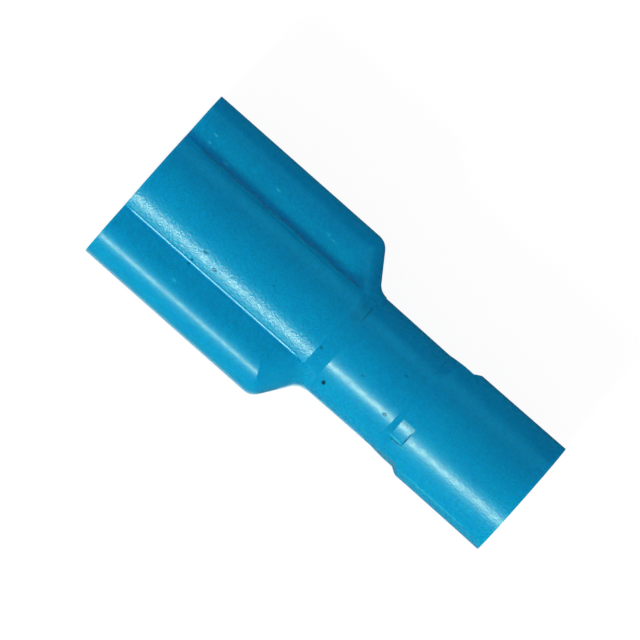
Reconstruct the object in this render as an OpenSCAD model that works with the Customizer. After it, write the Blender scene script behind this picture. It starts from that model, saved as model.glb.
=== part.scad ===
// Female spade terminal, fully insulated.
//
// A stamped and rolled receptacle sits in a one-piece moulded insulator, and a stepped metal
// sleeve carries on from its wire barrel to grip the wire's insulation.
// X runs from the mouth to the wire end and Z is square to the tab. The origin is the centre of
// the mouth, on the axis of the wire barrel, where the tab's middle plane lies.

/* [Tab that goes in] */
// Width of the tab
tab_w = 6.35; // [5.6:0.05:7.0]
// Thickness of the tab
tab_t = 0.80; // [0.7:0.05:0.95]
// Room beside the tab, on each side
tab_side_gap = 0.075; // [0.05:0.005:0.15]
// Room between the tab and the tips of the spring rolls
tab_tip_gap = 0.03; // [0.01:0.01:0.06]

/* [Receptacle] */
// Thickness of the stamped sheet
sheet_t = 0.40; // [0.3:0.02:0.45]
// Inside radius of the spring rolls
roll_inner_r = 0.55; // [0.5:0.01:0.65]
// Length of the receptacle
receptacle_len = 8.0; // [7:0.1:9]
// How far the receptacle sits back from the mouth
mouth_recess = 1.0; // [0.6:0.1:1.5]
// How far the front of each spring roll slants back towards its tip
tip_slant = 0.90; // [0.5:0.05:1.2]
// Bevel that leads the tab onto the floor
floor_bevel = 0.16; // [0.1:0.02:0.3]
// Width across the dimple that snaps into the tab's hole
dimple_w = 1.60; // [1.2:0.05:1.8]
// Height of the dimple
dimple_h = 0.28; // [0.2:0.02:0.35]
// Distance from the receptacle's front to the middle of the dimple
dimple_setback = 4.4; // [3.6:0.1:5]

/* [Wire barrel] */
// Length of the neck between the receptacle and the barrel
neck_len = 1.9; // [1.6:0.1:2.4]
// Height of the neck's sides where they meet the barrel, over the wire's axis
neck_side_h = 0.85; // [0.5:0.05:1]
// Inside diameter of the barrel
barrel_bore_d = 2.40; // [2.2:0.05:2.5]
// Length of the barrel
barrel_len = 5.0; // [4:0.1:6]
// Width of the seam where the rolled edges meet
seam_w = 0.05; // [0.03:0.01:0.08]
// Depth of the grooves inside the barrel
groove_depth = 0.06; // [0.04:0.01:0.1]
// Width of each groove
groove_w = 0.35; // [0.2:0.05:0.5]
// Distance from one groove to the next
groove_pitch = 1.10; // [0.8:0.05:1.3]

/* [Sleeve] */
// Thickness of the sleeve
sleeve_t = 0.23; // [0.15:0.01:0.3]
// Inside diameter of the part that grips the insulation
grip_bore_d = 4.10; // [3.8:0.05:4.3]
// Length of that part
grip_len = 4.45; // [3.5:0.05:5.5]
// Length of the sloped step between the two diameters
step_len = 0.37; // [0.3:0.01:0.6]
// How far the narrow part reaches past the barrel
sleeve_tail = 0.48; // [0.2:0.02:0.8]
// How far the sleeve starts behind the front of the barrel
sleeve_setback = 0.40; // [0.2:0.05:0.8]
// Clearance between pieces that fit together
fit_gap = 0.01; // [0.005:0.005:0.02]

/* [Insulator] */
// Thickness of the side walls of the wide part
side_wall = 0.75; // [0.6:0.05:1]
// Thickness of the flat walls over and under the receptacle
flat_wall = 0.84; // [0.7:0.01:0.84]
// Room beside the receptacle, on each side
side_room = 0.10; // [0.05:0.01:0.2]
// Room above the spring rolls, and as much again in the other half
top_room = 0.10; // [0.05:0.01:0.2]
// Rounding of the long edges of the wide part
edge_round = 1.60; // [1.2:0.05:1.7]
// Slope of the shoulders, from the long axis
shoulder_angle = 55.2; // [50:0.2:62]
// Rounding of the shoulders' outer corners
shoulder_round = 0.72; // [0.4:0.02:0.9]
// Fillet between the shoulders and the barrel
neck_fillet = 0.73; // [0.4:0.02:1]
// Room behind the receptacle
rear_room = 0.26; // [0.15:0.01:0.4]
// Lead-in bevel round the mouth
mouth_bevel = 0.25; // [0.1:0.05:0.4]
// Width of the dome along the middle of the wide part
dome_w = 4.10; // [3.6:0.05:4.3]
// Rounding of the dome's long edges
dome_edge_r = 0.12; // [0.08:0.01:0.14]
// Depth of the flat under the dome, which the terminal lies on
crown_flat = 0.10; // [0.03:0.01:0.12]
// Length of the slope at the rear end of the dome
dome_ramp = 0.95; // [0.7:0.05:1.1]
// Wall where the clearance under the dome ends
dome_end_wall = 0.25; // [0.15:0.01:0.35]
// Radius of the round clearance under the dome
dome_bore_r = 2.20; // [2.1:0.05:2.3]
// Length of the slope from that clearance to the throat that holds the barrel
throat_slope = 0.80; // [0.6:0.05:1]
// How far the throat starts behind the front of the barrel
throat_setback = 0.10; // [0:0.02:0.2]
// Wall of the dome
dome_wall = 0.80; // [0.7:0.05:0.95]
// Wall of the barrel where it leaves the shoulders
barrel_wall = 0.82; // [0.7:0.02:0.95]
// How much the barrel narrows towards the step, from the draft of the mould
barrel_draft = 0.03; // [0:0.01:0.06]
// Wall of the rear barrel at its sides
rear_wall = 0.61; // [0.5:0.01:0.8]
// Wall of the rear barrel at its top and bottom, which are flatter
rear_top_wall = 0.43; // [0.38:0.01:0.5]
// Radius of that flatter top and bottom
rear_top_r = 3.08; // [3:0.02:3.3]
// How much the rear barrel flares at its end
rear_flare = 0.035; // [0:0.005:0.06]
// Slope from the barrel up to the rear barrel
rear_slope = 18; // [14:1:26]
// Distance from the start of that slope to the step at the sides
rear_lead = 1.34; // [1.1:0.02:1.5]
// How far the flat sides before the step sit inside the barrel's outline
side_inset = 0.03; // [0:0.01:0.06]
// How far the insulator reaches past the sleeve
end_recess = 0.39; // [0.2:0.01:0.6]
// Bevel that leads the wire in
end_bevel = 0.22; // [0.1:0.02:0.3]

/* [Marks of the mould] */
// Length of the raised pad before the step
pad_len = 0.66; // [0.4:0.02:0.9]
// Height of the pad over the top of the rear barrel
pad_h = 0.12; // [0.08:0.01:0.16]
// Angle that the pad spans round the barrel
pad_span = 20; // [14:1:30]
// Part of that angle over which its upper side slopes down
pad_slope = 8; // [4:1:12]
// Angle from the top to the middle of the pad
pad_turn = 33; // [20:1:50]
// Distance from the pad's rear edge to the step
pad_setback = 0.34; // [0.2:0.02:0.4]

/* [Hidden] */
$fn = 96;

// Colours
nylon = [0.05, 0.53, 0.74];
tinned = [0.80, 0.79, 0.74];
copper_tinned = [0.74, 0.74, 0.73];

// How far a cutting shape reaches past what it cuts
over = 1;
// How far a raised shape is rooted in the wall under it
root = 0.05;
// Thickness of the end slices that a hull joins
slice = 0.01;
// Least flat that a rounded edge leaves
least_flat = 0.1;
// How far the rounding of the dome's edges stands proud of what it blends
edge_proud = 0.005;

// Receptacle
slot_half_w = tab_w / 2 + tab_side_gap;
floor_z = -tab_t / 2;
roll_mid_r = roll_inner_r + sheet_t / 2;
roll_outer_r = roll_inner_r + sheet_t;
roll_y = slot_half_w - roll_inner_r;
roll_z = floor_z + roll_inner_r;
roll_top_z = roll_z + roll_outer_r;
tip_z = tab_t / 2 + tab_tip_gap + sheet_t / 2;
tip_angle = 180 - asin((tip_z - roll_z) / roll_mid_r);
receptacle_half_w = roll_y + roll_outer_r;
receptacle_x1 = mouth_recess + receptacle_len;
dimple_r = (pow(dimple_w / 2, 2) + pow(dimple_h, 2)) / (2 * dimple_h);

// Wire barrel and sleeve
barrel_inner_r = barrel_bore_d / 2;
barrel_outer_r = barrel_inner_r + sheet_t;
barrel_x0 = receptacle_x1 + neck_len;
barrel_x1 = barrel_x0 + barrel_len;
sleeve_inner_r = barrel_outer_r + fit_gap;
sleeve_outer_r = sleeve_inner_r + sleeve_t;
grip_inner_r = grip_bore_d / 2;
grip_outer_r = grip_inner_r + sleeve_t;
sleeve_x0 = barrel_x0 + sleeve_setback;
step_x0 = barrel_x1 + sleeve_tail;
step_x1 = step_x0 + step_len;
grip_x1 = step_x1 + grip_len;

// Insulator, inside
cavity_half_w = receptacle_half_w + side_room;
cavity_half_h = roll_top_z + top_room;
cavity_corner_x = receptacle_x1 + rear_room;
throat_x = barrel_x0 + throat_setback;
dome_bore_x1 = throat_x - throat_slope;
throat_r = barrel_outer_r + 2 * fit_gap;
bore_r = sleeve_outer_r + fit_gap;
grip_bore_r = grip_outer_r + fit_gap;

// Insulator, outside
half_w = cavity_half_w + side_wall;
half_h = cavity_half_h + flat_wall;
edge_r = min(edge_round, half_h - least_flat);
inner_edge_r = max(edge_r - side_wall, least_flat);
corner_x = cavity_corner_x + side_wall * tan(shoulder_angle / 2);
dome_r = dome_bore_r + dome_wall;
dome_x1 = dome_bore_x1 + dome_end_wall;
barrel_r = bore_r + barrel_wall;
rear_r = grip_bore_r + rear_wall;
rear_top_z = grip_bore_r + rear_top_wall;
rear_x0 = step_x0 - rear_lead;
length = grip_x1 + end_recess;
shoulder_x1 = corner_x + (half_w - barrel_r) / tan(shoulder_angle);
shoulders_meet_x = corner_x + half_w / tan(shoulder_angle);

// The point at a radius and an angle from its own Y
function at_angle(r, angle) = [r * sin(angle), r * cos(angle)];

// Turns a shape drawn along Z so that it lies along X, with its own X towards +Y
module along_x() {
    rotate([90, 0, 90]) children();
}

// A round solid about the X axis, from pairs of distance along X and radius
module turned(points) {
    last = len(points) - 1;
    outline = concat(
        [[0, points[0][0]]],
        [for (p = points) [p[1], p[0]]],
        [[0, points[last][0]]]
    );
    rotate([0, 90, 0]) rotate_extrude() polygon(outline);
}

// A rectangle with round corners, centred
module rounded_rect(half_x, half_y, r) {
    square([2 * half_x, 2 * (half_y - r)], center = true);
    square([2 * (half_x - r), 2 * half_y], center = true);
    for (sx = [-1, 1], sy = [-1, 1])
        translate([sx * (half_x - r), sy * (half_y - r)]) circle(r = r);
}

// Section across the wide part's rounded edge: X is the distance in from the outline
module edge_section(reach) {
    core = half_h - edge_r;
    translate([0, -core]) square([reach, 2 * core]);
    translate([edge_r, -half_h]) square([reach - edge_r, 2 * half_h]);
    for (s = [-1, 1]) translate([edge_r, s * core]) circle(r = edge_r);
}

// Everything behind one sloped shoulder, with that shoulder's edge rounded
module shoulder_slab() {
    reach = 4 * half_w;
    translate([corner_x, half_w, 0])
        rotate([0, 0, -shoulder_angle])
            translate([-reach / 2, 0, 0])
                rotate([90, 0, 90])
                    linear_extrude(reach) mirror([1, 0]) edge_section(reach);
}

// Plan of the sector between the two sides that meet at an outer corner
module corner_sector(radius) {
    polygon([
        [0, 0],
        [0, radius],
        [radius * tan(shoulder_angle / 2), radius],
        [radius * sin(shoulder_angle), radius * cos(shoulder_angle)]
    ]);
}

// The shoulder's corner, rounded in plan and over its edge
module corner_round() {
    rotate([0, 0, 90 - shoulder_angle])
        rotate_extrude(angle = shoulder_angle)
            intersection() {
                translate([0, -half_h]) square([shoulder_round, 2 * half_h]);
                translate([shoulder_round, 0]) mirror([1, 0]) edge_section(2 * half_w);
            }
}

// The hollow fillet between a shoulder and the barrel
module fillet_round() {
    reach = neck_fillet + edge_r;
    rotate([0, 0, 270 - shoulder_angle])
        rotate_extrude(angle = shoulder_angle)
            translate([neck_fillet, 0])
                intersection() {
                    translate([0, -half_h]) square([reach, 2 * half_h]);
                    edge_section(2 * reach);
                }
}

// Flat wide part with sloped shoulders
module wide_part() {
    round_x = corner_x - shoulder_round * tan(shoulder_angle / 2);
    fillet_x = shoulder_x1 + neck_fillet * tan(shoulder_angle / 2);
    difference() {
        intersection() {
            along_x() linear_extrude(shoulders_meet_x) rounded_rect(half_w, half_h, edge_r);
            shoulder_slab();
            mirror([0, 1, 0]) shoulder_slab();
        }
        for (side = [0, 1]) mirror([0, side, 0])
            translate([round_x, half_w - shoulder_round, -half_h - over])
                linear_extrude(2 * (half_h + over)) corner_sector(2 * shoulder_round);
    }
    for (side = [0, 1]) mirror([0, side, 0]) {
        translate([round_x, half_w - shoulder_round, 0]) corner_round();
        translate([fillet_x, barrel_r + neck_fillet, 0]) fillet_round();
    }
}

// Raised middle of the wide part, above and below, which runs down to the barrel behind it
module dome() {
    foot = dome_r - crown_flat;
    intersection() {
        turned([[0, dome_r], [dome_x1, dome_r], [dome_x1 + dome_ramp, barrel_r - root]]);
        translate([0, -dome_w / 2, -foot])
            cube([dome_x1 + dome_ramp, dome_w, foot + dome_r + over]);
        along_x() linear_extrude(dome_x1 + dome_ramp) dome_edges();
    }
}

// Section that rounds the long edges of the dome, a hair proud of the sides and the round top
module dome_edges() {
    edge_y = dome_w / 2 - dome_edge_r + edge_proud;
    reach = dome_r - dome_edge_r + edge_proud;
    edge_z = sqrt(pow(reach, 2) - pow(edge_y, 2));
    square([2 * edge_y * dome_r / reach, 2 * (dome_r + over)], center = true);
    square([dome_w + 2 * over, 2 * edge_z], center = true);
    for (sy = [-1, 1], sz = [-1, 1])
        translate([sy * edge_y, sz * edge_z]) circle(r = dome_edge_r);
}

// Round barrel between the shoulders and the rear barrel
module barrel() {
    turned([
        [dome_bore_x1, barrel_r],
        [shoulder_x1, barrel_r],
        [rear_x0 + root, barrel_r - barrel_draft]
    ]);
}

// Rear barrel: flatter above and below than at its sides, which stay flat up to the step
module rear_barrel() {
    slope_len = (rear_r - barrel_r + barrel_draft) / tan(rear_slope);
    narrow = barrel_r - barrel_draft - side_inset;
    wide = rear_r + rear_flare + over;
    intersection() {
        turned([
            [rear_x0, barrel_r - barrel_draft],
            [rear_x0 + slope_len, rear_r],
            [length, rear_r + rear_flare]
        ]);
        rear_top();
        rotate([180, 0, 0]) rear_top();
        translate([0, 0, -wide])
            linear_extrude(2 * wide)
                polygon([
                    [rear_x0, -narrow],
                    [step_x0, -narrow],
                    [step_x1, -rear_r],
                    [step_x1, -wide],
                    [length, -wide],
                    [length, wide],
                    [step_x1, wide],
                    [step_x1, rear_r],
                    [step_x0, narrow],
                    [rear_x0, narrow]
                ]);
    }
}

// Everything under the rear barrel's flatter top
module rear_top() {
    translate([rear_x0, 0, rear_top_z - rear_top_r])
        rotate([0, 90, 0]) cylinder(r = rear_top_r, h = length - rear_x0);
}

// Small raised pad just before the step, whose upper side slopes down to the barrel
module pad() {
    foot = bore_r + root;
    far = rear_top_z + 3 * pad_h;
    lower = -pad_span / 2;
    upper = pad_span / 2;
    rotate([pad_turn, 0, 0])
        translate([step_x0 - pad_setback - pad_len, 0, 0])
            along_x()
                linear_extrude(pad_len)
                    intersection() {
                        circle(r = rear_top_z + pad_h);
                        polygon([
                            at_angle(foot, upper),
                            at_angle(rear_top_z, upper),
                            at_angle(far, upper - pad_slope),
                            at_angle(far, lower),
                            at_angle(foot, lower)
                        ]);
                    }
}

// Space for the receptacle: wide at the mouth, narrowing with the shoulders
module receptacle_cavity() {
    slope = tan(shoulder_angle);
    end_x = cavity_corner_x + (cavity_half_w - throat_r) / slope;
    intersection() {
        translate([-over, 0, 0])
            along_x()
                linear_extrude(end_x + over)
                    rounded_rect(cavity_half_w, cavity_half_h, inner_edge_r);
        translate([0, 0, -half_h])
            linear_extrude(2 * half_h)
                polygon([
                    [-over, -cavity_half_w - over],
                    [-over, cavity_half_w + over],
                    [cavity_corner_x - over / slope, cavity_half_w + over],
                    [end_x, throat_r],
                    [end_x, -throat_r],
                    [cavity_corner_x - over / slope, -cavity_half_w - over]
                ]);
    }
    mouth_funnel();
}

// Bevel round the mouth of that space: flat along its sides and conical round its corners
module mouth_funnel() {
    flat_y = cavity_half_w - inner_edge_r;
    flat_z = cavity_half_h - inner_edge_r;
    funnel_side(cavity_half_w, flat_z);
    rotate([90, 0, 0]) funnel_side(cavity_half_h, flat_y);
    for (sy = [-1, 1], sz = [-1, 1])
        translate([-over, sy * flat_y, sz * flat_z])
            rotate([0, 90, 0])
                cylinder(
                    r1 = inner_edge_r + mouth_bevel + over,
                    r2 = inner_edge_r,
                    h = mouth_bevel + over
                );
}

// Two opposite flats of the bevel, which open towards the mouth at 45 degrees
module funnel_side(half_open, half_depth) {
    mouth = half_open + mouth_bevel + over;
    translate([0, 0, -half_depth])
        linear_extrude(2 * half_depth)
            polygon([
                [-over, -mouth],
                [-over, mouth],
                [mouth_bevel, half_open],
                [mouth_bevel, -half_open]
            ]);
}

// Round bores: clearance under the dome, the throat and the seats of the sleeve
module bores() {
    turned([
        [-over, dome_bore_r + mouth_bevel + over],
        [mouth_bevel, dome_bore_r],
        [dome_bore_x1, dome_bore_r],
        [throat_x, throat_r],
        [sleeve_x0, throat_r],
        [sleeve_x0, bore_r],
        [step_x0, bore_r],
        [step_x1, grip_bore_r],
        [length - end_bevel, grip_bore_r],
        [length, grip_bore_r + end_bevel],
        [length + over, grip_bore_r + end_bevel]
    ]);
}

// Moulded insulator
module insulator() {
    color(nylon)
        difference() {
            union() {
                wide_part();
                dome();
                barrel();
                rear_barrel();
                pad();
            }
            receptacle_cavity();
            bores();
        }
}

// One spring roll, in section: the sheet curls up, over and down towards the tab
module roll_section() {
    far = 3 * roll_outer_r;
    difference() {
        circle(r = roll_outer_r);
        circle(r = roll_inner_r);
        polygon([
            [0, 0],
            [far * cos(tip_angle), far * sin(tip_angle)],
            [-far, -far],
            [0, -far]
        ]);
    }
    translate([roll_mid_r * cos(tip_angle), roll_mid_r * sin(tip_angle)])
        circle(r = sheet_t / 2);
}

// Floor and both spring rolls, in section
module receptacle_section() {
    translate([-roll_y, floor_z - sheet_t]) square([2 * roll_y, sheet_t]);
    for (side = [0, 1]) mirror([side, 0]) translate([roll_y, roll_z]) roll_section();
}

// Receptacle, with the front of its rolls slanted back and its floor bevelled for the tab
module receptacle() {
    tip_y = roll_y + roll_outer_r * cos(tip_angle);
    difference() {
        translate([mouth_recess, 0, 0])
            along_x() linear_extrude(receptacle_len) receptacle_section();
        for (side = [0, 1]) mirror([0, side, 0])
            translate([mouth_recess, 0, roll_z])
                linear_extrude(roll_outer_r + over)
                    polygon([
                        [-over, 0],
                        [-over, roll_y],
                        [0, roll_y],
                        [tip_slant, tip_y],
                        [tip_slant, 0]
                    ]);
        translate([mouth_recess, roll_y, floor_z])
            rotate([90, 0, 0])
                linear_extrude(2 * roll_y)
                    polygon([
                        [-over, -floor_bevel],
                        [0, -floor_bevel],
                        [2 * floor_bevel, 0],
                        [2 * floor_bevel, root],
                        [-over, root]
                    ]);
        dimple_cap(-sheet_t);
    }
    dimple_cap(0);
}

// Cap of the pressed dimple, above the floor (0) or below it (-sheet_t)
module dimple_cap(shift) {
    base = floor_z + shift;
    translate([mouth_recess + dimple_setback, 0, 0])
        intersection() {
            translate([0, 0, base + dimple_h - dimple_r]) sphere(r = dimple_r);
            translate([-dimple_w, -dimple_w, base]) cube([2 * dimple_w, 2 * dimple_w, over]);
        }
}

// Neck: a trough that changes from the flat floor to the round barrel
module neck() {
    reach = roll_y + barrel_outer_r;
    difference() {
        neck_loft(roll_y, floor_z - sheet_t, barrel_outer_r, 0);
        neck_loft(roll_y - sheet_t, floor_z, barrel_inner_r, over / 10);
        translate([receptacle_x1, reach, 0])
            rotate([90, 0, 0])
                linear_extrude(2 * reach)
                    polygon([
                        [-over, floor_z],
                        [0, floor_z],
                        [neck_len, neck_side_h],
                        [neck_len, reach],
                        [-over, reach]
                    ]);
    }
}

// Joins a flat-bottomed slice at the receptacle to a round one at the barrel
module neck_loft(half, bottom, r, past) {
    hull() {
        translate([receptacle_x1 - past, -half, bottom])
            cube([slice, 2 * half, barrel_inner_r - bottom]);
        translate([barrel_x0 + past - slice, 0, 0])
            rotate([0, 90, 0]) cylinder(r = r, h = slice, $fn = 48);
    }
}

// Closed wire barrel with its butt seam on top and grooves inside
module wire_barrel() {
    grooves = floor((barrel_len - groove_w) / groove_pitch) - 1;
    first_groove = barrel_x0 + (barrel_len - (grooves - 1) * groove_pitch) / 2;
    difference() {
        turned([[barrel_x0, barrel_outer_r], [barrel_x1, barrel_outer_r]]);
        turned([[barrel_x0 - over, barrel_inner_r], [barrel_x1 + over, barrel_inner_r]]);
        for (i = [0 : grooves - 1])
            translate([first_groove + i * groove_pitch, 0, 0])
                turned([
                    [-groove_w / 2, barrel_inner_r + groove_depth],
                    [groove_w / 2, barrel_inner_r + groove_depth]
                ]);
        translate([barrel_x0 - over, -seam_w / 2, 0])
            cube([barrel_len + 2 * over, seam_w, barrel_outer_r + over]);
    }
}

// Stamped and rolled terminal
module terminal() {
    color(tinned) {
        receptacle();
        neck();
        wire_barrel();
    }
}

// Drawn sleeve: narrow over the wire barrel, wide and flared over the wire's insulation
module sleeve() {
    color(copper_tinned)
        difference() {
            turned([
                [sleeve_x0, sleeve_outer_r],
                [step_x0, sleeve_outer_r],
                [step_x1, grip_outer_r],
                [grip_x1, grip_outer_r]
            ]);
            turned([
                [sleeve_x0 - over, sleeve_inner_r],
                [step_x0, sleeve_inner_r],
                [step_x1, grip_inner_r],
                [grip_x1 + over, grip_inner_r]
            ]);
        }
}

insulator();
terminal();
sleeve();
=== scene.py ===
import math

import bpy
from mathutils import Matrix, Vector


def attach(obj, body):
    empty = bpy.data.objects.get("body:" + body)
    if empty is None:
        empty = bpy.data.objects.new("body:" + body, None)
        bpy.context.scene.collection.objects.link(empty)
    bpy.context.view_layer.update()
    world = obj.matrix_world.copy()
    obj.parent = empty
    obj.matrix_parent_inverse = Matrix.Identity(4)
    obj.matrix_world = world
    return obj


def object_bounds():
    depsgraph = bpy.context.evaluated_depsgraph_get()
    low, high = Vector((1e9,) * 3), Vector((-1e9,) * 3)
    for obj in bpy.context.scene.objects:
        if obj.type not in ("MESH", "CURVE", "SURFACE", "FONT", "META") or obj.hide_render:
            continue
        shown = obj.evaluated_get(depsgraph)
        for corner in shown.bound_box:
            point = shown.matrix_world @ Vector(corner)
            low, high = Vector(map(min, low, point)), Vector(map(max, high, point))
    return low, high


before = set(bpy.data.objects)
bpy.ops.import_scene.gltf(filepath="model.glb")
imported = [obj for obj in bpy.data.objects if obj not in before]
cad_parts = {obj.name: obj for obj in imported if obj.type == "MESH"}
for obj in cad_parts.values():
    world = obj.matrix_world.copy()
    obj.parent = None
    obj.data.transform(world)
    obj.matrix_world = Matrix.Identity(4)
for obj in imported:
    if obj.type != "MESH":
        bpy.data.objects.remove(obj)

# The looks of a female spade terminal: moulded nylon with the marks of its mould, tinned metal
# inside, and the studio round it. Lengths named *_MM are in millimetres, as in the part's
# source. +X runs from the mouth to the wire end and +Z is up.

MM = 0.001
CAD_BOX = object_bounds()
LOW, HIGH = (Vector(corner) for corner in CAD_BOX)
CENTRE = (LOW + HIGH) / 2
LENGTH = HIGH.x - LOW.x

WHITE = (1, 1, 1, 1)
BLACK = (0, 0, 0, 1)

# Camera: above the terminal, rolled a little round its axis towards -Y, and turned so that the
# axis slants across the picture
ROLL = math.radians(5.0)
TURN = math.radians(41.478)
VIEW_WIDTH = 1.303 * LENGTH
RIGHT_OF_MIDDLE_MM = 0.774
BELOW_MIDDLE_MM = 0.714
LENS = 600
SENSOR = 36
CLIP_START = 0.01
CLIP_END = 10

ALONG = Vector((1, 0, 0))
ACROSS = Vector((0, math.cos(ROLL), math.sin(ROLL)))
TO_CAMERA = Vector((0, -math.sin(ROLL), math.cos(ROLL)))

# Lamps on the -Y side. The key lights the part and shows in it, the broad fill only lights it,
# and the shine and the glow are seen in reflections only. The levels are what a white surface
# square to the lamp would show.
KEY_FROM_VIEW = math.radians(52)
KEY_ANGLE = math.radians(8)
KEY_LEVEL = 0.34
KEY_COLOUR = (1.0, 0.96, 0.68)
SHINE_LEVEL = 0.80
SHINE_COLOUR = (1.0, 0.50, 0.36)
GLOW_ANGLE = math.radians(38)
GLOW_LEVEL = 0.60
GLOW_COLOUR = (0.15, 1.0, 0.95)
FILL_FROM_VIEW = math.radians(66)
FILL_ANGLE = math.radians(50)
FILL_LEVEL = 0.28
FILL_COLOUR = (1.0, 1.0, 0.93)
LAMP_DISTANCE = 0.3

# Surround: even, but dark low on the +Y side up to one slope, with a brighter strip between that
# slope and a steeper one. The edges are in the units of a direction of length 1.
AMBIENT = 0.43
AMBIENT_COLOUR = (1.0, 0.92, 1.0, 1)
REFLECTED = 0.40
DARK_SIDE = 0.02
DARK_TOP = math.tan(math.radians(14))
DARK_EDGE = 0.03
STRIP_TOP = math.tan(math.radians(36))
STRIP_EDGE = 0.10
STRIP_GAIN = 0.3
STRIP_REFLECTED_GAIN = 11.0
STRIP_COLOUR = (0.10, 0.95, 1.0, 1)

# Floor: one colour for the light that it throws back, and another, lifted by a glow of its own,
# for what the camera and the reflections see
FLOOR_COLOUR = (0.65, 0.65, 0.65, 1)
FLOOR_SEEN_COLOUR = (0.16, 0.16, 0.16, 1)
FLOOR_LIFT = 0.92
FLOOR_HALF = 1.5

# Cards beside the part, seen by reflections only: the name, the side, the span along the axis,
# the profile across and up from the floor in millimetres, and the level
CARD_COLOUR = (0.7, 1, 1, 1)
CARDS = [
    ("dark_card", 1, (-20, 42), [(2.2, 0.02), (6.0, 0.02), (7.6, 1.2), (8.2, 6.4)], 0.02),
    ("grey_card", -1, (-60, 82), [(2.2, 0.02), (80.0, 0.02)], 0.20),
    ("pale_card_by_the_mouth", -1, (-20, 10.4), [(4.2, 0.03), (5.4, 0.03)], 1.0),
    ("pale_card_by_the_barrel", -1, (10.4, 14.6), [(2.4, 0.03), (3.6, 0.03)], 1.4),
]

# The insulator's dome, as in the part's source
DOME_R_MM = 3.0
DOME_HALF_W_MM = 2.05
DOME_END_MM = 10.45
WING_Z_MM = 2.04

# The raised pad near the step, as in the part's source
PAD_X_MM = (15.35, 16.08)
PAD_Y_MM = (-1.97, -1.02)

# Where parts of the nylon differ. Each pair is where the difference starts and where it is full.
DOME_SIDE_MM = (DOME_HALF_W_MM, DOME_HALF_W_MM - 0.05)
DOME_HEIGHT_MM = (WING_Z_MM + 0.05, WING_Z_MM + 0.12)
DOME_REAR_MM = (DOME_END_MM, DOME_END_MM - 0.15)
WING_SIDE_MM = (3.0, 3.2)
WIRE_END_MM = (15.0, 22.0)
PAD_HEIGHT_MM = (1.0, 1.1)
PAD_SOFT_MM = 0.02
PAD_SHADE_SHIFT_MM = -0.2

# Nearly all of a noise lies within the wide pair, and most of it within the narrow one
WIDE = (0.30, 0.70)
NARROW = (0.35, 0.65)

# Nylon: its colours, and the size, roughness and height of what makes its face uneven
NYLON = (0.0, 0.408, 0.765, 1)
NYLON_DEEP = (0.0, 0.376, 0.728, 1)
FLOW_MM = 2.6
FLOW_SHARE = 0.6
FLOW_HIGH_MM = 0.0012
MOTTLE_MM = 0.35
MOTTLE_SHARE = 0.4
BEADS_MM = 0.30
BEADS_HIGH_MM = 0.0002
PITS_MM = 0.11
PITS_HIGH_MM = 0.0006
DOME_PITS_HIGH_MM = 0.0034
WIRE_END_PITS_HIGH_MM = 0.0020
GRAIN_MM = 0.09
GRAIN_HIGH_MM = 0.0001
GRAIN_DARKENING = 0.16
NYLON_ROUGH = 0.25
BEADS_ROUGH = 0.04
DOME_ROUGH = -0.03
WING_ROUGH = 0.03

# Marks on the nylon: along the axis and across it towards +Y, half their length each way, and
# how strong they are. Most are specks. Some are painted shade and painted highlights, as noted
# where they stand. A mark has gone at the first value of its edge and is full at the second,
# counted in its half lengths plus the ragged share.
DARK_SPECK_AND_SHADE = (0.0, 0.030, 0.080, 1)
PALE_SPECK_AND_HIGHLIGHT = (0.04, 0.60, 0.90, 1)
MARK_DARK_HIGH_MM = -0.02
MARK_UPPER_SIDE_MM = (0.0, 0.4)
MARK_RAGGED_MM = 0.09
MARK_RAGGED_SHARE = 0.8
MARK_EDGE = (1.75, 0.85)
DARK_SPECKS_AND_PAINTED_SHADE_MM = [
    (11.67, -1.93, 0.10, 0.10, 1.00),
    (3.80, -1.80, 0.08, 0.14, 0.80),
    (4.04, -1.05, 0.09, 0.07, 0.60),
    (4.83, -1.41, 0.10, 0.07, 0.60),
    (10.59, -0.84, 0.09, 0.07, 0.50),
    (12.75, -0.53, 0.08, 0.06, 0.35),
    (14.20, 0.70, 0.08, 0.07, 0.45),
    (14.59, -1.21, 0.08, 0.07, 0.60),
    (7.25, -0.18, 0.08, 0.07, 0.30),
    # Painted shade: a short line where the ramp meets the mid barrel, and a patch over the ramp
    (11.14, 1.55, 0.06, 0.46, 0.42),
    (10.80, 1.45, 0.26, 0.52, 0.18),
    # Painted shadow under the pad's lower edge, and painted shade along its rear edge
    (15.70, -1.79, 0.38, 0.030, 0.60),
    (16.05, -1.42, 0.030, 0.36, 0.45),
    # A faint dark line along the dome's +Y edge
    (5.60, 2.04, 4.60, 0.030, 0.22),
]
PALE_SPECKS_AND_PAINTED_HIGHLIGHTS_MM = [
    (0.99, 3.08, 0.11, 0.055, 0.80),
    (0.99, 2.64, 0.11, 0.050, 0.75),
    (2.11, 2.42, 0.13, 0.055, 0.60),
    (4.61, 3.08, 0.13, 0.055, 0.60),
    (3.82, -2.90, 0.10, 0.050, 0.75),
    (7.55, 3.08, 0.10, 0.050, 0.50),
    (7.90, 3.02, 0.12, 0.050, 0.45),
    # Painted highlights: a thin line along the pad's lower edge, and one along the -Y side of the
    # rear barrel
    (15.70, -1.69, 0.36, 0.035, 0.80),
    (18.60, -2.62, 1.90, 0.035, 0.50),
]

# Flash on the long edges of the dome: steps along it and corners round it. The shaded one has
# waves (size, pitch and phase), one sharper jog, and a girth that swells and shrinks.
FLASH_END_MM = 10.15
FLASH_STEPS = 220
FLASH_SIDES = 20
FLASH_TIP = 0.15
FLASH_TIP_STEPS = 8
FLASH_WAVES_MM = [(0.026, 1.9, 0.4), (0.020, 0.83, 1.9), (0.016, 0.41, 0.2)]
FLASH_JOG_MM = 0.10
FLASH_JOG_X_MM = 4.66
FLASH_JOG_SPREAD_MM = 0.13
FLASH_SWELL = 0.25
FLASH_SWELL_SLOW = 3.1
FLASH_SWELL_QUICK = 7.7
FLASH_SWELL_PHASE = 1.0
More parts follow.
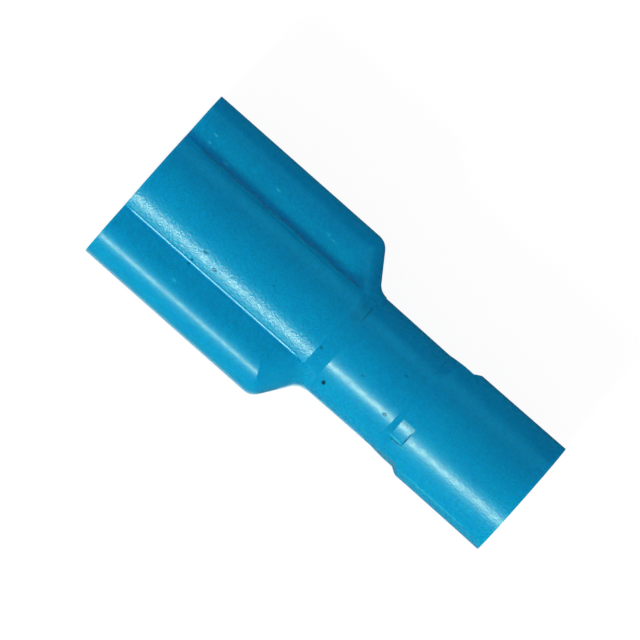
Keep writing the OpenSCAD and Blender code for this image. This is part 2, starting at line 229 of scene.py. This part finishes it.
# The flash on the shaded edge: colours darker than the nylon as painted shade, the size of their
# patches, and its bumps
FLASH_PAINTED_SHADE_DARK = (0.0, 0.10, 0.26, 1)
FLASH_PAINTED_SHADE_PALE = (0.0, 0.27, 0.58, 1)
FLASH_SHADE_PATCH_MM = 0.25
FLASH_BUMP_MM = 0.05
FLASH_BUMP_HIGH_MM = 0.01

# Metals: tin plate over brass and over copper, which show where the sheet was cut
TIN_ON_BRASS = (0.80, 0.79, 0.77, 1)
BRASS = (0.66, 0.49, 0.22, 1)
TIN_ON_COPPER = (0.80, 0.79, 0.78, 1)
COPPER = (0.68, 0.40, 0.27, 1)
TIN_DULLED = 0.90
TIN_ROUGH = 0.32
DRAW_LINES_MM = 0.05
DRAW_LINES_STRETCH = (1, 9, 9)
DRAW_LINES_HIGH_MM = 0.0012
CLOUD_MM = 0.7
CLOUD_HIGH_MM = 0.0025
CLOUD_ROUGH = 0.12
CLOUD_ROUGH_RANGE = (0.35, 0.75)
CUT_FACING = (0.80, 0.97)
CUT_LEAST = 0.55
CUT_LINES = 0.5


class Graph:
    """A short way to write a node tree: node() makes one and links or sets its inputs."""

    def __init__(self, tree):
        self.tree = tree
        tree.nodes.clear()

    def feed(self, socket, value):
        """Links a socket to where the value comes from, or sets a constant on it."""
        if isinstance(value, bpy.types.NodeSocket):
            self.tree.links.new(value, socket)
        else:
            socket.default_value = value

    def node(self, kind, inputs=None, **settings):
        made = self.tree.nodes.new(kind)
        for name, value in settings.items():
            setattr(made, name, value)
        for name, value in (inputs or {}).items():
            self.feed(made.inputs[name], value)
        return made

    def maths(self, operation, first, second=0.0, clamp=False):
        made = self.node("ShaderNodeMath", {0: first, 1: second}, operation=operation)
        made.use_clamp = clamp
        return made.outputs[0]

    def plus(self, first, second, clamp=False):
        return self.maths("ADD", first, second, clamp)

    def minus(self, first, second):
        return self.maths("SUBTRACT", first, second)

    def times(self, first, second, clamp=False):
        return self.maths("MULTIPLY", first, second, clamp)

    def smooth(self, value, start, full):
        """0 at start and 1 at full, either of which may be the larger, and smooth between."""
        made = self.node(
            "ShaderNodeMapRange",
            {"Value": value, "From Min": start, "From Max": full},
            interpolation_type="SMOOTHSTEP",
        )
        return made.outputs["Result"]

    def noise(self, place, size, detail, rough=0.5):
        """Noise whose features are about that many millimetres across."""
        inputs = {"Vector": place, "Scale": 1 / size, "Detail": detail, "Roughness": rough}
        return self.node("ShaderNodeTexNoise", inputs).outputs[0]

    def dot(self, place, direction):
        inputs = {0: place, 1: tuple(direction)}
        return self.node("ShaderNodeVectorMath", inputs, operation="DOT_PRODUCT").outputs["Value"]

    def mix_colour(self, share, first, second):
        made = self.node("ShaderNodeMix", data_type="RGBA", blend_type="MIX")
        self.feed(made.inputs[0], share)
        self.feed(made.inputs[6], first)
        self.feed(made.inputs[7], second)
        return made.outputs[2]

    def bump(self, height_mm, **inputs):
        """The normal that a height in millimetres gives."""
        inputs.update({"Height": height_mm, "Distance": MM, "Strength": 1.0})
        return self.node("ShaderNodeBump", inputs).outputs[0]

    def place_mm(self):
        """The point on the surface, in millimetres of the CAD frame."""
        coord = self.node("ShaderNodeTexCoord").outputs["Object"]
        made = self.node("ShaderNodeVectorMath", {0: coord, "Scale": 1 / MM}, operation="SCALE")
        return made.outputs[0]


def new_material(name):
    material = bpy.data.materials.new(name)
    material.use_nodes = True
    return material, Graph(material.node_tree)


def finish_surface(graph, shader):
    graph.node("ShaderNodeOutputMaterial", {"Surface": shader.outputs[0]})


def spots(graph, place, marks):
    """A mask of small oval marks on the upper side, each a little ragged and soft at its edge:
    specks, painted shade and painted highlights, whichever the list holds.
    """
    along = graph.dot(place, ALONG)
    across = graph.dot(place, ACROSS)
    up = graph.smooth(graph.dot(place, TO_CAMERA), *MARK_UPPER_SIDE_MM)
    ragged = graph.noise(place, MARK_RAGGED_MM, detail=3.0)
    total = 0.0
    for x, y, half_x, half_y, strength in marks:
        dx = graph.times(graph.minus(along, x), 1 / half_x)
        dy = graph.times(graph.minus(across, y), 1 / half_y)
        far = graph.maths("SQRT", graph.plus(graph.times(dx, dx), graph.times(dy, dy)))
        far = graph.plus(far, graph.times(ragged, MARK_RAGGED_SHARE))
        total = graph.plus(total, graph.times(graph.smooth(far, *MARK_EDGE), strength))
    return graph.times(total, up, clamp=True)


def nylon_material():
    """Blue moulded nylon: satin, slightly translucent, finely pitted, most of all on the dome."""
    material, graph = new_material("moulded_nylon")
    place = graph.place_mm()
    x, y, z = graph.node("ShaderNodeSeparateXYZ", {0: place}).outputs
    side = graph.maths("ABSOLUTE", y)
    height = graph.maths("ABSOLUTE", z)

    on_dome = graph.times(graph.smooth(side, *DOME_SIDE_MM), graph.smooth(height, *DOME_HEIGHT_MM))
    on_dome = graph.times(on_dome, graph.smooth(x, *DOME_REAR_MM))
    on_wing = graph.smooth(side, *WING_SIDE_MM)
    to_wire = graph.smooth(x, *WIRE_END_MM)
    on_pad = graph.smooth(z, *PAD_HEIGHT_MM)
    for value, (low, high) in ((x, PAD_X_MM), (y, PAD_Y_MM)):
        on_pad = graph.times(on_pad, graph.smooth(value, low, low + PAD_SOFT_MM))
        on_pad = graph.times(on_pad, graph.smooth(value, high, high - PAD_SOFT_MM))

    flow = graph.noise(place, FLOW_MM, detail=2.0)
    mottle = graph.noise(place, MOTTLE_MM, detail=3.0, rough=0.6)
    beads = graph.noise(place, BEADS_MM, detail=1.0)
    pits = graph.noise(place, PITS_MM, detail=1.0)
    grain = graph.noise(place, GRAIN_MM, detail=1.0)

    tone = graph.plus(graph.times(flow, FLOW_SHARE), graph.times(mottle, MOTTLE_SHARE))
    colour = graph.mix_colour(graph.smooth(tone, *WIDE), NYLON_DEEP, NYLON)
    grained = graph.times(graph.smooth(grain, *NARROW), GRAIN_DARKENING)
    colour = graph.mix_colour(grained, colour, BLACK)
    # Dark specks with painted shade, and pale specks with painted highlights, laid on the nylon's
    # colour
    dark = spots(graph, place, DARK_SPECKS_AND_PAINTED_SHADE_MM)
    bright = spots(graph, place, PALE_SPECKS_AND_PAINTED_HIGHLIGHTS_MM)
    colour = graph.mix_colour(dark, colour, DARK_SPECK_AND_SHADE)
    colour = graph.mix_colour(bright, colour, PALE_SPECK_AND_HIGHLIGHT)

    rough = graph.plus(NYLON_ROUGH, graph.times(graph.smooth(beads, *NARROW), BEADS_ROUGH))
    rough = graph.plus(rough, graph.times(on_dome, DOME_ROUGH))
    rough = graph.plus(rough, graph.times(on_wing, WING_ROUGH))

    wave = graph.times(flow, FLOW_HIGH_MM)
    bead = graph.times(beads, BEADS_HIGH_MM)
    depth = graph.plus(PITS_HIGH_MM, graph.times(on_dome, DOME_PITS_HIGH_MM))
    depth = graph.plus(depth, graph.times(to_wire, WIRE_END_PITS_HIGH_MM))
    pit = graph.times(graph.smooth(pits, *WIDE), depth)
    fine = graph.times(grain, GRAIN_HIGH_MM)
    total = graph.plus(graph.plus(wave, bead), graph.plus(pit, fine))
    total = graph.plus(total, graph.times(dark, MARK_DARK_HIGH_MM))

    # The pad shades as a part of the round barrel: its normal points away from a line beside
    # the axis, which lifts its highlight towards its upper edge
    from_line = graph.node(
        "ShaderNodeVectorMath",
        {0: place, 1: (0, 1, 1), 2: (0, PAD_SHADE_SHIFT_MM, 0)},
        operation="MULTIPLY_ADD",
    )
    outwards = graph.node("ShaderNodeVectorMath", {0: from_line.outputs[0]}, operation="NORMALIZE")
    facing = graph.node("ShaderNodeNewGeometry").outputs["Normal"]
    facing = graph.mix_colour(on_pad, facing, outwards.outputs[0])

    shader = graph.node("ShaderNodeBsdfPrincipled", {
        "Base Color": colour,
        "Roughness": rough,
        "IOR": 1.5,
        "Specular IOR Level": 0.18,
        "Specular Tint": (0.40, 0.80, 0.80, 1),
        "Subsurface Weight": 0.5,
        "Subsurface Radius": (0.1, 0.45, 1.0),
        "Subsurface Scale": 0.0010,
        "Normal": graph.bump(total, Normal=facing),
    })
    finish_surface(graph, shader)
    return material


def polished_material():
    """The same nylon where the mould left it smooth."""
    material, graph = new_material("polished_nylon")
    shader = graph.node("ShaderNodeBsdfPrincipled", {
        "Base Color": NYLON,
        "Roughness": 0.22,
        "Specular IOR Level": 0.22,
        "Specular Tint": (0.52, 0.80, 0.80, 1),
    })
    finish_surface(graph, shader)
    return material


def flash_painted_shade_material():
    """The same nylon, dull, and darker as painted shade for the flash on the dome's shaded edge.
    """
    material, graph = new_material("flash_nylon_painted_shade")
    place = graph.place_mm()
    patches = graph.noise(place, FLASH_SHADE_PATCH_MM, detail=3.0)
    height = graph.times(graph.noise(place, FLASH_BUMP_MM, detail=2.0), FLASH_BUMP_HIGH_MM)
    shader = graph.node("ShaderNodeBsdfPrincipled", {
        "Base Color": graph.mix_colour(patches, FLASH_PAINTED_SHADE_DARK, FLASH_PAINTED_SHADE_PALE),
        "Roughness": 0.55,
        "Specular IOR Level": 0.25,
        "Normal": graph.bump(height),
    })
    finish_surface(graph, shader)
    return material


def tinned_material(name, tin, bare):
    """Tin plate with fine draw lines, worn to the bare metal where the sheet was cut."""
    material, graph = new_material(name)
    place = graph.place_mm()
    stretched = graph.node("ShaderNodeMapping", {"Vector": place, "Scale": DRAW_LINES_STRETCH})
    lines = graph.noise(stretched.outputs[0], DRAW_LINES_MM, detail=3.0, rough=0.6)
    cloud = graph.noise(place, CLOUD_MM, detail=3.0, rough=0.6)

    normal = graph.node("ShaderNodeTexCoord").outputs["Normal"]
    along = graph.node("ShaderNodeSeparateXYZ", {0: normal}).outputs[0]
    cut = graph.smooth(graph.maths("ABSOLUTE", along), *CUT_FACING)
    cut = graph.times(cut, graph.plus(CUT_LEAST, graph.times(lines, CUT_LINES)))
    dulled = tuple(TIN_DULLED * part for part in tin[:3]) + (1,)
    shade = graph.mix_colour(graph.smooth(cloud, *WIDE), tin, dulled)
    clouded = graph.smooth(cloud, *CLOUD_ROUGH_RANGE)
    height = graph.plus(graph.times(lines, DRAW_LINES_HIGH_MM), graph.times(cloud, CLOUD_HIGH_MM))
    shader = graph.node("ShaderNodeBsdfPrincipled", {
        "Base Color": graph.mix_colour(cut, shade, bare),
        "Metallic": 0.75,
        "Roughness": graph.plus(TIN_ROUGH, graph.times(clouded, CLOUD_ROUGH)),
        "Normal": graph.bump(height),
    })
    finish_surface(graph, shader)
    return material


def dress(node, material):
    """Gives a CAD node its material."""
    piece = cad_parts[node]
    piece.data.materials.clear()
    piece.data.materials.append(material)


def add_mesh(name, corners, faces, material):
    mesh = bpy.data.meshes.new(name)
    mesh.from_pydata(corners, [], faces)
    mesh.materials.append(material)
    made = bpy.data.objects.new(name, mesh)
    bpy.context.scene.collection.objects.link(made)
    return made


def add_studio_surface(name, corners, material):
    """A flat or folded surface of the studio, from rows of two corners."""
    faces = [(i, i + 1, i + 3, i + 2) for i in range(0, len(corners) - 2, 2)]
    made = add_mesh(name, corners, faces, material)
    return made


def flash_path(side, wiggle, start, inset, sunk):
    """Points along the top edge of the dome, in millimetres, towards the ramp."""
    points = []
    for i in range(FLASH_STEPS + 1):
        x = start + (FLASH_END_MM - start) * i / FLASH_STEPS
        wave = sum(size * math.sin(2 * math.pi * x / pitch + phase)
                   for size, pitch, phase in FLASH_WAVES_MM)
        jog = FLASH_JOG_MM * math.exp(-((x - FLASH_JOG_X_MM) / FLASH_JOG_SPREAD_MM) ** 2)
        shift = wiggle * (wave - jog)
        angle = math.asin(DOME_HALF_W_MM / DOME_R_MM) + (shift - inset) / DOME_R_MM
        radius = DOME_R_MM - sunk
        points.append((x, side * radius * math.sin(angle), radius * math.cos(angle)))
    return points


def flash_girth(i, x, wiggle):
    """How thick the flash is at a step, as a share: it tapers at both ends, and may swell."""
    taper = FLASH_TIP + min(i, FLASH_STEPS - i) / FLASH_TIP_STEPS
    wave = math.sin(FLASH_SWELL_SLOW * x + FLASH_SWELL_PHASE) * math.sin(FLASH_SWELL_QUICK * x)
    return min(1.0, taper) * (1 + FLASH_SWELL * wiggle * wave)


def add_flash(name, material, side, wiggle, start, inset, sunk, half_wide, half_high, tilt):
    """A fine oval bead of flash where the mould's inserts met, on one edge of the dome.

    Its lengths are in millimetres. It starts that far from the mouth, lies inset from the edge
    towards the dome's middle and sunk below its face, and its wide way leans down by tilt.
    """
    corners = []
    for i, (x, y, z) in enumerate(flash_path(side, wiggle, start, inset, sunk)):
        girth = flash_girth(i, x, wiggle)
        ring = []
        for k in range(FLASH_SIDES):
            turn = 2 * math.pi * k / FLASH_SIDES
            out = half_wide * girth * math.cos(turn)
            up = half_high * girth * math.sin(turn)
            across = out * math.cos(tilt) + up * math.sin(tilt)
            rise = up * math.cos(tilt) - out * math.sin(tilt)
            ring.append((x * MM, (y + side * across) * MM, (z + rise) * MM))
        corners.extend(ring if side > 0 else ring[::-1])

    faces = []
    for i in range(FLASH_STEPS):
        near = i * FLASH_SIDES
        far = near + FLASH_SIDES
        for k in range(FLASH_SIDES):
            after = (k + 1) % FLASH_SIDES
            faces.append((near + k, near + after, far + after, far + k))
    rear = FLASH_STEPS * FLASH_SIDES
    faces.append(tuple(range(FLASH_SIDES - 1, -1, -1)))
    faces.append(tuple(range(rear, rear + FLASH_SIDES)))

    made = add_mesh(name, corners, faces, material)
    for face in made.data.polygons:
        face.use_smooth = len(face.vertices) == 4
    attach(made, "root")


def add_floor():
    """A large pale floor that keeps the terminal's shadow and looks white to the camera."""
    material, graph = new_material("pale_floor")
    path = graph.node("ShaderNodeLightPath").outputs
    seen = graph.plus(graph.plus(path["Is Camera Ray"], path["Is Glossy Ray"]),
                      path["Is Transmission Ray"], clamp=True)
    own = graph.node("ShaderNodeBsdfDiffuse", {"Color": FLOOR_COLOUR})
    soft = graph.node("ShaderNodeBsdfDiffuse", {"Color": FLOOR_SEEN_COLOUR})
    glow = graph.node("ShaderNodeEmission", {"Color": WHITE, "Strength": FLOOR_LIFT})
    lifted = graph.node("ShaderNodeAddShader", {0: soft.outputs[0], 1: glow.outputs[0]})
    both = graph.node("ShaderNodeMixShader", {0: seen, 1: own.outputs[0], 2: lifted.outputs[0]})
    finish_surface(graph, both)
    edges = (-FLOOR_HALF, FLOOR_HALF)
    add_studio_surface("floor", [(x, y, LOW.z) for x in edges for y in edges], material)


def add_card(name, side, span, profile, level):
    """A flat or curled card of the studio, close to the part. Only reflections see it."""
    material, graph = new_material(name)
    glow = graph.node("ShaderNodeEmission", {"Color": CARD_COLOUR, "Strength": level})
    finish_surface(graph, glow)
    corners = [(x * MM, side * y * MM, LOW.z + z * MM) for y, z in profile for x in span]
    card = add_studio_surface(name, corners, material)
    card.visible_camera = False
    card.visible_diffuse = False
    card.visible_transmission = False
    card.visible_shadow = False


def add_world():
    """The surround. To the camera it is white all round."""
    scene = bpy.context.scene
    scene.world = bpy.data.worlds.new("studio")
    scene.world.use_nodes = True
    graph = Graph(scene.world.node_tree)
    path = graph.node("ShaderNodeLightPath").outputs
    direction = graph.node("ShaderNodeTexCoord").outputs["Generated"]
    _, across, up = graph.node("ShaderNodeSeparateXYZ", {0: direction}).outputs

    over_dark = graph.minus(up, graph.times(across, DARK_TOP))
    over_strip = graph.minus(up, graph.times(across, STRIP_TOP))
    light = graph.smooth(over_dark, -DARK_EDGE, DARK_EDGE)
    strip = graph.times(light, graph.smooth(over_strip, STRIP_EDGE, -STRIP_EDGE))
    level = graph.plus(DARK_SIDE, graph.times(light, 1 - DARK_SIDE))
    lit = graph.plus(level, graph.times(strip, STRIP_GAIN))
    shown = graph.plus(level, graph.times(strip, STRIP_REFLECTED_GAIN))

    # White to the camera, its shown level to reflections, and never less than the ambient one
    clear = graph.plus(path["Is Camera Ray"], path["Is Transmission Ray"], clamp=True)
    reflected = graph.times(path["Is Glossy Ray"], graph.times(shown, REFLECTED))
    ambient = graph.times(lit, AMBIENT)
    strength = graph.maths("MAXIMUM", graph.maths("MAXIMUM", clear, reflected), ambient)
    untinted = graph.maths("MAXIMUM", clear, path["Is Glossy Ray"])
    colour = graph.mix_colour(untinted, AMBIENT_COLOUR, WHITE)
    mirrored = graph.times(path["Is Glossy Ray"], graph.minus(1.0, clear))
    colour = graph.mix_colour(graph.times(mirrored, strip), colour, STRIP_COLOUR)
    background = graph.node("ShaderNodeBackground", {"Color": colour, "Strength": strength})
    graph.node("ShaderNodeOutputWorld", {"Surface": background.outputs[0]})


def add_lamp(name, level, colour, angle, from_view):
    """A soft lamp far away on the -Y side, whose disc is as wide as a softbox looks."""
    lamp = bpy.data.lights.new(name, "SUN")
    lamp.energy = math.pi * level
    lamp.color = colour
    lamp.angle = angle
    made = bpy.data.objects.new(name, lamp)
    bpy.context.scene.collection.objects.link(made)
    towards = math.cos(from_view) * TO_CAMERA - math.sin(from_view) * ACROSS
    made.rotation_euler = towards.to_track_quat("Z", "Y").to_euler()
    made.location = CENTRE + LAMP_DISTANCE * towards
    return made


def add_camera():
    right = math.cos(TURN) * ALONG + math.sin(TURN) * ACROSS
    up = -math.sin(TURN) * ALONG + math.cos(TURN) * ACROSS
    data = bpy.data.cameras.new("camera")
    data.lens = LENS
    data.sensor_width = SENSOR
    data.clip_start = CLIP_START
    data.clip_end = CLIP_END
    camera = bpy.data.objects.new("camera", data)
    bpy.context.scene.collection.objects.link(camera)
    middle = CENTRE.copy()
    middle.z = 0
    middle += (BELOW_MIDDLE_MM * up - RIGHT_OF_MIDDLE_MM * right) * MM
    distance = VIEW_WIDTH * LENS / SENSOR
    turned = Matrix((right, up, TO_CAMERA)).transposed().to_4x4()
    camera.matrix_world = Matrix.Translation(middle + distance * TO_CAMERA) @ turned
    bpy.context.scene.camera = camera


add_camera()
add_lamp("key", KEY_LEVEL, KEY_COLOUR, KEY_ANGLE, KEY_FROM_VIEW)
fill = add_lamp("fill", FILL_LEVEL, FILL_COLOUR, FILL_ANGLE, FILL_FROM_VIEW)
fill.visible_glossy = False
shine = add_lamp("shine", SHINE_LEVEL, SHINE_COLOUR, KEY_ANGLE, KEY_FROM_VIEW)
shine.visible_diffuse = False
glow = add_lamp("glow", GLOW_LEVEL, GLOW_COLOUR, GLOW_ANGLE, KEY_FROM_VIEW)
glow.visible_diffuse = False
add_world()
add_floor()
for card in CARDS:
    add_card(*card)
bpy.context.scene.view_settings.view_transform = "Standard"

dress("insulator", nylon_material())
add_flash(
    "mould_flash_lit_edge", polished_material(), side=-1, wiggle=0.0, start=0.12, inset=0.06,
    sunk=0.002, half_wide=0.085, half_high=0.03, tilt=math.radians(29),
)
# The flash on the shaded edge is coloured darker than the nylon, as painted shade
add_flash(
    "mould_flash_shaded_edge", flash_painted_shade_material(), side=1, wiggle=1.0, start=0.70, inset=0.01,
    sunk=0.016, half_wide=0.055, half_high=0.050, tilt=0.0,
)
dress("terminal", tinned_material("tinned_brass", TIN_ON_BRASS, BRASS))
dress("sleeve", tinned_material("tinned_copper", TIN_ON_COPPER, COPPER))
